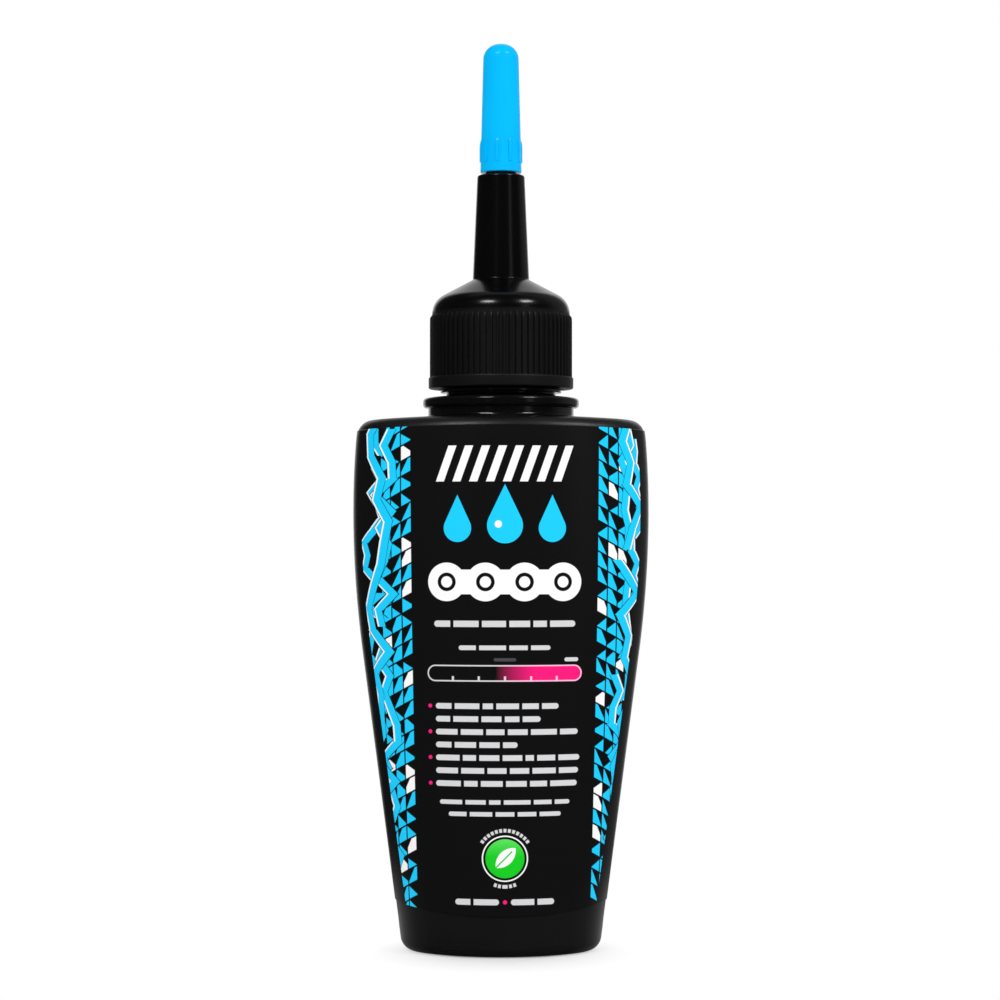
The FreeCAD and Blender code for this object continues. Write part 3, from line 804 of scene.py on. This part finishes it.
GAUGE_UP = 43.15
GAUGE_HALF = 11.8
GAUGE_HEIGHT = 2.3
GAUGE_RIM = 0.1
END_MARK = (9.1, 11.3, 45.2, 0.6)
HEAT_START = -1.4
HEAT_RUN = 6.0
TICK_PITCH = 3.95
TICK_HALF = 0.16
TICK_DROP = 0.45
TICKS_HALF = 2.2 * TICK_PITCH


def gauge(across, up):
    """Distance from a gauge with round ends, distance from its thin rim and short ticks, and how far
    the colour has gone from black to pink."""
    body = bar(across, up, -GAUGE_HALF, GAUGE_HALF, GAUGE_UP, GAUGE_HEIGHT)
    tick = (abs(nearest(across, 0.0, TICK_PITCH)) - TICK_HALF).most(abs(across) - TICKS_HALF)
    ticks = tick.most(up - (GAUGE_UP - TICK_DROP)).most(body)
    heat = ((across - HEAT_START) / HEAT_RUN).clamped()
    return body, (abs(body) - GAUGE_RIM).least(ticks), heat


LEAF_UP = 15.2
SPOT = 2.95
SPOT_RIM = 3.4
SPOT_RIM_HALF = 0.1
SPOT_SHADE_START = 0.2
SPOT_SHADE_RUN = 3.4
SPOT_SHADE_CURVE = 1.3
SPOT_SHADE = 0.75
LEAF_BOW = (0.15, -1.6, 2.65)
VEIN_HALF = 0.11
VEIN_BACK = 0.35
VEIN_LENGTH_HALF = 1.9
ARC = 4.25
ARC_HALF = 0.27
ARC_SCALE = 4.3
ARC_STROKE_HALF = 0.22
ARC_STROKE_TURN = 0.155
UPPER_ARC_TURN = 1.0
LOWER_ARC_TURN = 0.4


def leaf_spot(across, up):
    """A leaf on a green spot, with a thin rim and two arcs of short strokes round it: the distances
    from the spot, from its rim, from the arcs, from the leaf and from its vein, and the spot's shade."""
    above = up - LEAF_UP
    from_middle = slant(across, above)
    over = across.maths("ARCTAN2", across, above)
    under = across.maths("ARCTAN2", across, -above)
    strokes = abs(nearest(over, 0.0, ARC_STROKE_TURN)) * ARC_SCALE - ARC_STROKE_HALF
    past_arcs = (abs(over) - UPPER_ARC_TURN).least(abs(under) - LOWER_ARC_TURN) * ARC_SCALE
    arcs = (abs(from_middle - ARC) - ARC_HALF).most(strokes).most(past_arcs)
    along = (above + across) * math.sqrt(0.5)
    aside = (above - across) * math.sqrt(0.5)
    leaf = disc(along, abs(aside), *LEAF_BOW)
    vein = (abs(aside) - VEIN_HALF).most(abs(along + VEIN_BACK) - VEIN_LENGTH_HALF)
    shade = ((above - SPOT_SHADE_START) / SPOT_SHADE_RUN).clamped() ** SPOT_SHADE_CURVE * SPOT_SHADE
    return from_middle - SPOT, abs(from_middle - SPOT_RIM) - SPOT_RIM_HALF, arcs, leaf, vein, shade


PRINT_TURN = 0.6
FILM_CLOUDS = 110.0
FILM_RIPPLES = 260.0
FILM_GRAIN = 3000.0
FILM_SHINE = 0.3
FILM_ROUGHNESS = 0.3
FILM_UNEVEN = 0.12
FILM_RELIEF = 0.3
FILM_RELIEF_DEPTH = 0.02


def printed_film():
    """The film with its print: chips and bolts in two wedges, and the marks of the front panel."""
    material, shader, wire = new_material("printed_film")
    place = wire.make("ShaderNodeAttribute", {"attribute_name": "print_place"}, None, "Vector")
    turned_across, up, short = place.parts()
    across = turned_across - PRINT_TURN

    drops = drop(across, up, *LARGE_DROP).least(drop(abs(across), up, *SMALL_DROPS))
    small = [words(across, up, *block) for block in SMALL_PRINT]
    gauge_body, gauge_lines, heat = gauge(across, up)
    spot, spot_rim, arcs, leaf, vein, shade = leaf_spot(across, up)
    colour = wedges(across, up, short)
    for ink, distance in (
        (WHITE_INK, together(heading(across, up), chain(across, up), spot_rim)),
        (SOFT_WHITE_INK, together(*small, bar(across, up, *END_MARK), arcs)),
        (BLUE_INK, drops),
        (WHITE_INK, disc(across, up, *GLINT)),
        (PINK_INK, together(*(disc(across, up, *dot) for dot in DOTS))),
        (heat.mixed(BLACK_INK, PINK_INK), gauge_body),
        (heat.mixed(SOFT_WHITE_INK, PALE_PINK_INK), gauge_lines),
        (GREY_INK, words(across, up, *MIDDLE_MARK)),
        (shade.mixed(GREEN_INK, PALE_GREEN_INK), spot),
        (WHITE_INK, leaf),
        (GREEN_INK, vein),
    ):
        colour = inked(distance).mixed(colour, ink)

    on_body = wire.make("ShaderNodeTexCoord", None, None, "Object")
    roughness = FILM_ROUGHNESS + (noise(on_body, FILM_CLOUDS, 3.0) - 0.5) * FILM_UNEVEN
    ripple = noise(on_body, FILM_RIPPLES, 1.0) + noise(on_body, FILM_GRAIN, 1.0) * 0.25
    shader.inputs["Specular IOR Level"].default_value = FILM_SHINE
    finish_surface(shader, colour, roughness, ripple, FILM_RELIEF, FILM_RELIEF_DEPTH)
    return material


rings, places = film_rings()
label_film = put("label_film", skin("label_film", rings, loop=True))
corners = label_film.data.attributes.new("print_place", "FLOAT_VECTOR", "CORNER")
corners.data.foreach_set("vector", print_corners(places).ravel())
label_film.data.materials.append(printed_film())
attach(label_film, "bottle")
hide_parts("label_sleeve")

# The sealing ring: punched out of a sheet of white polyethylene foam and laid in the cap, where it
# is squeezed between the lip of the neck and the cap's ceiling.
ring_low, ring_high = (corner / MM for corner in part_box("cap_liner"))
RING_BORE = 5.5
RING_EDGE = 0.15
RING_COLUMNS = 96
FOAM_CELLS = 4200.0
FOAM_CLOUDS = 500.0
FOAM_ROUGHNESS = 0.55
FOAM_RELIEF = 0.5
FOAM_RELIEF_DEPTH = 0.06


def full_turn(columns):
    """Even angles round the upright axis."""
    return np.linspace(0, 2 * math.pi, columns, endpoint=False)


def turned_rings(profile, columns):
    """Rings of a form that is turned about the upright axis."""
    return [ring(full_turn(columns), out, height) for out, height in profile]


def closed_foam():
    """White foam of small closed cells, with the soft gloss of polyethylene."""
    material, shader, wire = new_material("closed_foam")
    place = wire.make("ShaderNodeTexCoord", None, None, "Object")
    cells = wire.make("ShaderNodeTexVoronoi", None, {"Vector": place, "Scale": FOAM_CELLS}, "Distance")
    colour = noise(place, FOAM_CLOUDS).mixed(dye(226, 226, 222), dye(246, 246, 243))
    finish_surface(shader, colour, FOAM_ROUGHNESS + cells * 0.2, cells, FOAM_RELIEF, FOAM_RELIEF_DEPTH)
    return material


profile = rounded((
    (RING_BORE, ring_low.z, RING_EDGE),
    (ring_high.x, ring_low.z, RING_EDGE),
    (ring_high.x, ring_high.z, RING_EDGE),
    (RING_BORE, ring_high.z, RING_EDGE),
))
sealing_ring = put("sealing_ring", skin("sealing_ring", turned_rings(profile, RING_COLUMNS), loop=True))
sealing_ring.data.materials.append(closed_foam())
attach(sealing_ring, "liner")
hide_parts("cap_liner")

# The screw cap: one injection moulding of black polypropylene. A ribbed skirt with a thread inside
# carries a dome, a tapered spout and, above a step, the thin nozzle that the tip cap sits on.
cap_low, cap_high = (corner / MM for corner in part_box("spout_cap"))
CAP_RIM = cap_low.z
CAP_RIM_LEAD = 0.3
NOZZLE_END = cap_high.z
CEILING = ring_high.z
CEILING_COVE = 0.3
SKIRT_BORE = 9.6
SKIRT_BORE_CLEAR = 0.8
SKIRT = 10.65
SKIRT_COVE = 0.1
BAND = 11.2
BAND_TOP = CAP_RIM + 1.8
BAND_EDGE = 0.25

DOME_EDGE = CEILING + 2.57
DOME_ROUNDING = 3.2
SPOUT_FOOT = DOME_EDGE + 3.33
SPOUT_FOOT_RADIUS = 4.37
SPOUT_FOOT_COVE = 0.2
SPOUT_STEP = SPOUT_FOOT + 16.2
SPOUT_STEP_RADIUS = 3.66
SPOUT_STEP_EDGE = 0.35
NOZZLE_FOOT_RADIUS = 2.35
NOZZLE_END_RADIUS = 1.55
NOZZLE_EDGE = 0.2
ORIFICE = 0.65
ORIFICE_LENGTH = 2.5
ORIFICE_EDGE = 0.1
CHANNEL = 2.5
CHANNEL_END = SPOUT_FOOT - 1.8
SEAT_BORE = 6.6
SEAT_RISE = 1.2
SEAT_ROUNDING = 0.5
SEAT_EDGE = 0.2

CAP_THREAD_STAND = 0.9
CAP_THREAD_WINDINGS = 1.6
CAP_THREAD_START = NECK_THREAD_START + 0.6 * THREAD_PITCH
CAP_THREAD_ROW = 0.14
CAP_THREAD_TOP = CEILING - 1.0
CAP_COLUMNS = 160
CAP_ARC_STEP = math.radians(7)

RIBS = 70
RIB_STAND = 0.36
RIB_ROOT = 0.62
RIB_CREST = 0.2
RIB_FOOT = BAND_TOP - 0.4
RIB_END = BAND_TOP + 9.7
RIB_FADE = 0.7
RIB_BLUNT = 0.001


def cap_rings():
    """Rings of the cap: up its outside to the nozzle's end, and down through the channel, the dome and
    the threaded skirt to its rim."""
    profile = rounded((
        (SKIRT_BORE + CAP_RIM_LEAD, CAP_RIM, 0),
        (BAND, CAP_RIM, BAND_EDGE),
        (BAND, BAND_TOP, BAND_EDGE),
        (SKIRT, BAND_TOP, SKIRT_COVE),
        (SKIRT, DOME_EDGE, DOME_ROUNDING),
        (SPOUT_FOOT_RADIUS, SPOUT_FOOT, SPOUT_FOOT_COVE),
        (SPOUT_STEP_RADIUS, SPOUT_STEP, SPOUT_STEP_EDGE),
        (NOZZLE_FOOT_RADIUS, SPOUT_STEP, NOZZLE_EDGE),
        (NOZZLE_END_RADIUS, NOZZLE_END, NOZZLE_EDGE),
        (ORIFICE, NOZZLE_END, ORIFICE_EDGE),
        (ORIFICE, NOZZLE_END - ORIFICE_LENGTH, 0),
        (CHANNEL, CHANNEL_END, SEAT_ROUNDING),
        (SEAT_BORE, CEILING + SEAT_RISE, SEAT_ROUNDING),
        (SEAT_BORE, CEILING, SEAT_EDGE),
        (SKIRT_BORE, CEILING, CEILING_COVE),
        (SKIRT_BORE, CEILING - SKIRT_BORE_CLEAR, 0),
    ), CAP_ARC_STEP)
    rings = turned_rings(profile, CAP_COLUMNS)
    turn = full_turn(CAP_COLUMNS)
    for height in np.arange(CAP_THREAD_TOP, CAP_RIM + CAP_RIM_LEAD, -CAP_THREAD_ROW):
        stand = CAP_THREAD_STAND * thread(turn, height, CAP_THREAD_START, CAP_THREAD_WINDINGS)
        rings.append(ring(turn, SKIRT_BORE - stand, height))
    return rings


def rib_tree():
    """Geometry nodes that stand equal ribs round a moulding. One rib is a bar that narrows from its
    root to its crest, and sinks into the moulding at its upper end."""
    tree = bpy.data.node_groups.new("grip_ribs", "GeometryNodeTree")
    kinds = {"Moulding": "NodeSocketGeometry", "Finish": "NodeSocketMaterial", "Count": "NodeSocketInt"}
    for name in ("Moulding", "Finish", "Count", "First", "Sunk", "Reach", "Root Width", "Crest Width",
                 "Foot", "Length", "Fade"):
        tree.interface.new_socket(name, in_out="INPUT", socket_type=kinds.get(name, "NodeSocketFloat"))
    tree.interface.new_socket("Ribbed", in_out="OUTPUT", socket_type="NodeSocketGeometry")
    wire = Wire(tree)

    def given(name):
        return wire.make("NodeGroupInput", None, None, name)

    blank = wire.make("GeometryNodeMeshCube", None, {
        "Size": (1.0, 1.0, 1.0), "Vertices X": 2, "Vertices Y": 4, "Vertices Z": 9})
    out, side, up = wire.make("GeometryNodeInputPosition").parts()
    left = (0.5 - up) ** 3.0 * given("Length")
    end = (left / given("Fade")).least(1.0).most(RIB_BLUNT)
    stand = (end * (2.0 - end)) ** 0.5
    radius = given("Sunk") + (out + 0.5) * stand * (given("Reach") - given("Sunk"))
    width = given("Root Width") + (out + 0.5) * (given("Crest Width") - given("Root Width"))
    shaped = wire.make("ShaderNodeCombineXYZ", None, {
        "X": radius, "Y": side * width, "Z": given("Foot") + given("Length") - left})
    rib = wire.make("GeometryNodeSetPosition", None, {"Geometry": blank, "Position": shaped})
    points = wire.make("GeometryNodePoints", None, {"Count": given("Count")})
    around = wire.make("GeometryNodeInputIndex") * (2 * math.pi) / given("Count") + given("First")
    facing = wire.make("ShaderNodeCombineXYZ", None, {"Z": around})
    ribs = wire.make("GeometryNodeInstanceOnPoints", None, {
        "Points": points, "Instance": rib, "Rotation": facing})
    ribs = wire.make("GeometryNodeRealizeInstances", None, {"Geometry": ribs})
    whole = wire.make("GeometryNodeJoinGeometry", None, {"Geometry": [given("Moulding"), ribs]})
    whole = wire.make("GeometryNodeSetMaterial", None, {"Geometry": whole, "Material": given("Finish")})
    wire.make("NodeGroupOutput", None, {"Ribbed": whole})
    return tree


def add_ribs(moulding, tree, finish, count, first, **sizes):
    """Adds ribs of given sizes to a moulding, and makes the result its plain mesh."""
    modifier = moulding.modifiers.new("ribs", "NODES")
    modifier.node_group = tree
    values = {name.replace("_", " ").title(): size * MM for name, size in sizes.items()}
    values.update({"Finish": finish, "Count": count, "First": first})
    for item in tree.interface.items_tree:
        if item.in_out == "INPUT" and item.name in values:
            modifier[item.identifier] = values[item.name]
    evaluated = moulding.evaluated_get(bpy.context.evaluated_depsgraph_get())
    mesh = bpy.data.meshes.new_from_object(evaluated)
    moulding.modifiers.remove(modifier)
    moulding.data = mesh
    shade_smooth(mesh)


# Above the ribs, the dome, spout and nozzle get painted shade: a much darker colour, besides their gloss.
cap_plastic = moulded_plastic(
    "black_polypropylene", dye(10, 9, 9), dye(15, 14, 14), roughness=0.47, uneven=0.08,
    grain_depth=0.014, polished_and_shaded=(RIB_END, 0.58, 0.8))
spout_cap = put("spout_cap_moulding", skin("spout_cap_moulding", cap_rings(), loop=True))
ribs = rib_tree()
add_ribs(spout_cap, ribs, cap_plastic, RIBS, 0.0, sunk=SKIRT - RIB_STAND, reach=SKIRT + RIB_STAND,
         root_width=RIB_ROOT, crest_width=RIB_CREST, foot=RIB_FOOT, length=RIB_END - RIB_FOOT, fade=RIB_FADE)
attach(spout_cap, "cap")
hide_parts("spout_cap")

# The tip cap: a small injection moulding of bright blue polyethylene, pushed over the nozzle.
# It has a domed top, a plain rim and short ribs above that rim to pull it off by.
tip_low, tip_high = (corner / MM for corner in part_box("tip_cap"))
TIP_RIM = tip_low.z
TIP_RIM_RADIUS = 3.21
TIP_RIM_EDGE = 0.15
TIP_TOP = tip_high.z
TIP_TOP_RADIUS = 2.7
TIP_DOME = 2.4
TIP_BORE_RIM = 2.41
TIP_BORE_EDGE = 0.08
TIP_BORE_END = 1.625
TIP_CEILING = NOZZLE_END + 0.1
TIP_CEILING_COVE = 0.3
TIP_MIDDLE = 0.2
TIP_COLUMNS = 120
TIP_ARC_STEP = math.radians(5)

TIP_RIBS = 10
TIP_RIB_FIRST = math.radians(8)
TIP_RIB_SUNK = 2.8
TIP_RIB_ROOT = 0.62
TIP_RIB_CREST = 0.4
TIP_RIB_FOOT = TIP_RIM + 1.6
TIP_RIB_LENGTH = 3.8
TIP_RIB_FADE = 1.6

# From the middle of the ceiling, down the bore, and up the outside to the middle of the top.
profile = rounded((
    (TIP_MIDDLE, TIP_CEILING, 0),
    (TIP_BORE_END, TIP_CEILING, TIP_CEILING_COVE),
    (TIP_BORE_RIM, TIP_RIM, TIP_BORE_EDGE),
    (TIP_RIM_RADIUS, TIP_RIM, TIP_RIM_EDGE),
    (TIP_TOP_RADIUS, TIP_TOP, TIP_DOME),
    (TIP_MIDDLE, TIP_TOP, 0),
), TIP_ARC_STEP)
tip_plastic = moulded_plastic(
    "blue_polyethylene", dye(0, 178, 244), dye(0, 192, 255), roughness=0.17, uneven=0.08,
    grain_depth=0.01, shine=0.1)
tip_cap = put("tip_cap_moulding", skin(
    "tip_cap_moulding", turned_rings(profile, TIP_COLUMNS), (0, 0, TIP_CEILING), (0, 0, TIP_TOP)))
add_ribs(tip_cap, ribs, tip_plastic, TIP_RIBS, TIP_RIB_FIRST, sunk=TIP_RIB_SUNK, reach=tip_high.x,
         root_width=TIP_RIB_ROOT, crest_width=TIP_RIB_CREST, foot=TIP_RIB_FOOT, length=TIP_RIB_LENGTH,
         fade=TIP_RIB_FADE)
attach(tip_cap, "tip")
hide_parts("tip_cap")

# The studio: white paper under the bottle and a lit sheet behind it, dark towards the camera, with
# two softboxes above and two faint upright strips in front. The paper shows as white, but keeps the
# bottle's shadow.
FLOOR_HALF = 3.0
FLOOR_GLOW = 0.22
FLOOR_ROUGHNESS = 0.9
FLOOR_COLOUR = (0.97, 0.97, 0.97, 1)
SHADOW_MIDDLE = (0.0, -0.0035, 0.0)
SHADOW_NEAR = 0.008
SHADOW_FAR = 0.02
BLACK = (0, 0, 0, 1)
WHITE = (1, 1, 1, 1)

# What gloss shows: the levels of the dim places, and where each place starts and how fast it comes in.
FRONT_LEVEL = 0.03
SHEET_SPREAD = 0.65
SHEET_SIDES = 4.1
SHEET_START = 0.2
SHEET_RISE = 1.5
WALL_LEVEL = 0.16
WALL_START = 0.2
WALL_RISE = 4.0
WALL_FRONT = -0.2
WALL_FRONT_RISE = 2.0
CEILING_START = 0.8
CEILING_RISE = 1.5
CEILING_BACK_RISE = 8.0
BESIDE_LEVEL = 0.6
BESIDE_END = 0.08
BESIDE_FADE = 0.04
BESIDE_FRONT = -0.55

# Light from all round, which leans to the front and to the right.
AMBIENT = 0.75
AMBIENT_ASIDE = 0.09
AMBIENT_FRONT = 0.12

SOFTBOX_DISTANCE = 0.75
SOFTBOX_TARGET = (0.0, 0.0, 0.08)
# Name, azimuth, elevation, power, width and height.
SOFTBOXES = (
    ("left_softbox", -26.0, 45.0, 1.1, 0.2, 0.11),
    ("right_softbox", 52.0, 45.0, 1.1, 0.2, 0.11),
    ("left_strip", -20.0, 8.0, 0.01, 0.06, 0.6),
    ("right_strip", 43.0, 8.0, 0.08, 0.12, 0.6),
)


def ray_kinds(wire):
    """Which rays come from the camera, and which from gloss or glass."""
    path = wire.make("ShaderNodeLightPath").socket.node.outputs
    camera, gloss, through = (Wire(wire.tree, path[name]) for name in (
        "Is Camera Ray", "Is Glossy Ray", "Is Transmission Ray"))
    return camera, gloss.most(through)


def came_in(value, start, rise):
    """A value's way from 0 to 1 after its start."""
    return ((value - start) * rise).clamped()


def sheet_behind(direction):
    """What gloss shows in a direction: the lit sheet behind the bottle, which leans over it at the
    top, a dim wall to the right, a dim ceiling over the back, and the dark of the room in front."""
    across, depth, up = direction.parts()
    sheet = came_in(depth * SHEET_SPREAD, abs(across), SHEET_SIDES) * came_in(depth, SHEET_START, SHEET_RISE)
    wall = came_in(across, WALL_START, WALL_RISE) * came_in(depth, WALL_FRONT, WALL_FRONT_RISE) * WALL_LEVEL
    ceiling = came_in(up, CEILING_START, CEILING_RISE) * came_in(depth, 0.0, CEILING_BACK_RISE)
    return sheet.most(wall).most(ceiling).most(FRONT_LEVEL)


def white_paper():
    """Paper that the camera and gloss see as lit, apart from the bottle's shadow on it."""
    material, shader, wire = new_material("white_paper")
    place = wire.make("ShaderNodeTexCoord", None, None, "Object")
    camera, gloss = ray_kinds(wire)
    direction = wire.make("ShaderNodeVectorMath", {"operation": "NORMALIZE"}, {"Vector": place})
    away = wire.make("ShaderNodeVectorMath", {"operation": "DISTANCE"}, {0: place, 1: SHADOW_MIDDLE}, "Value")
    near = ((BESIDE_END - away) / BESIDE_FADE).clamped()
    beside = near * came_in(direction.parts()[1], BESIDE_FRONT, 1.0) * BESIDE_LEVEL
    shown = camera.most(gloss * sheet_behind(direction).most(beside))
    glow = wire.make("ShaderNodeEmission", None, {"Color": shown.mixed(BLACK, WHITE)})
    far = ((away - SHADOW_NEAR) / (SHADOW_FAR - SHADOW_NEAR)).clamped()
    share = gloss.most(camera * (FLOOR_GLOW + far * (1 - FLOOR_GLOW)))
    shader.inputs["Base Color"].default_value = FLOOR_COLOUR
    shader.inputs["Roughness"].default_value = FLOOR_ROUGHNESS
    lit = Wire(wire.tree, shader.outputs[0])
    mix = wire.make("ShaderNodeMixShader", None, {0: share, 1: lit, 2: glow})
    wire.feed(material.node_tree.nodes["Material Output"].inputs["Surface"], mix)
    return material


floor_mesh = bpy.data.meshes.new("studio_floor")
floor_corners = [(x * FLOOR_HALF, y * FLOOR_HALF, 0) for x, y in ((-1, -1), (1, -1), (1, 1), (-1, 1))]
floor_mesh.from_pydata(floor_corners, [], [(0, 1, 2, 3)])
floor_mesh.materials.append(white_paper())
floor = put("studio_floor", floor_mesh)

world = bpy.data.worlds.new("studio_world")
bpy.context.scene.world = world
world.use_nodes = True
wire = Wire(world.node_tree)
direction = wire.make("ShaderNodeTexCoord", None, None, "Generated")
camera_rays, gloss = ray_kinds(wire)
across, depth = direction.parts()[:2]
room = across * AMBIENT_ASIDE - depth * AMBIENT_FRONT + AMBIENT
shown = camera_rays.most(gloss * sheet_behind(direction))
level = shown + (1 - camera_rays.most(gloss)) * room
wire.feed(world.node_tree.nodes["Background"].inputs["Color"], level.mixed(BLACK, WHITE))

for name, azimuth, elevation, power, width, height in SOFTBOXES:
    lamp = bpy.data.lights.new(name, "AREA")
    lamp.shape = "RECTANGLE"
    lamp.energy = power
    lamp.size = width
    lamp.size_y = height
    turn = math.radians(azimuth)
    tilt = math.radians(elevation)
    out = np.array((math.cos(tilt) * math.sin(turn), -math.cos(tilt) * math.cos(turn), math.sin(tilt)))
    softbox = put(name, lamp)
    softbox.location = np.array(SOFTBOX_TARGET) + out * SOFTBOX_DISTANCE
    softbox.rotation_euler = (math.pi / 2 - tilt, 0, turn)

# The camera: a long lens in front of the label, a little under the bottle's middle and pitched up by
# less than a degree.
CAMERA_PLACE = (-0.00015, -0.42, 0.0647)
CAMERA_PITCH = math.radians(0.633)
LENS = 97.7
SENSOR = 36.0
camera_data = bpy.data.cameras.new("camera")
camera_data.lens = LENS
camera_data.sensor_width = SENSOR
camera = put("camera", camera_data)
camera.location = CAMERA_PLACE
camera.rotation_euler = (math.pi / 2 + CAMERA_PITCH, 0, 0)
bpy.context.scene.camera = camera
bpy.context.scene.view_settings.view_transform = "Standard"
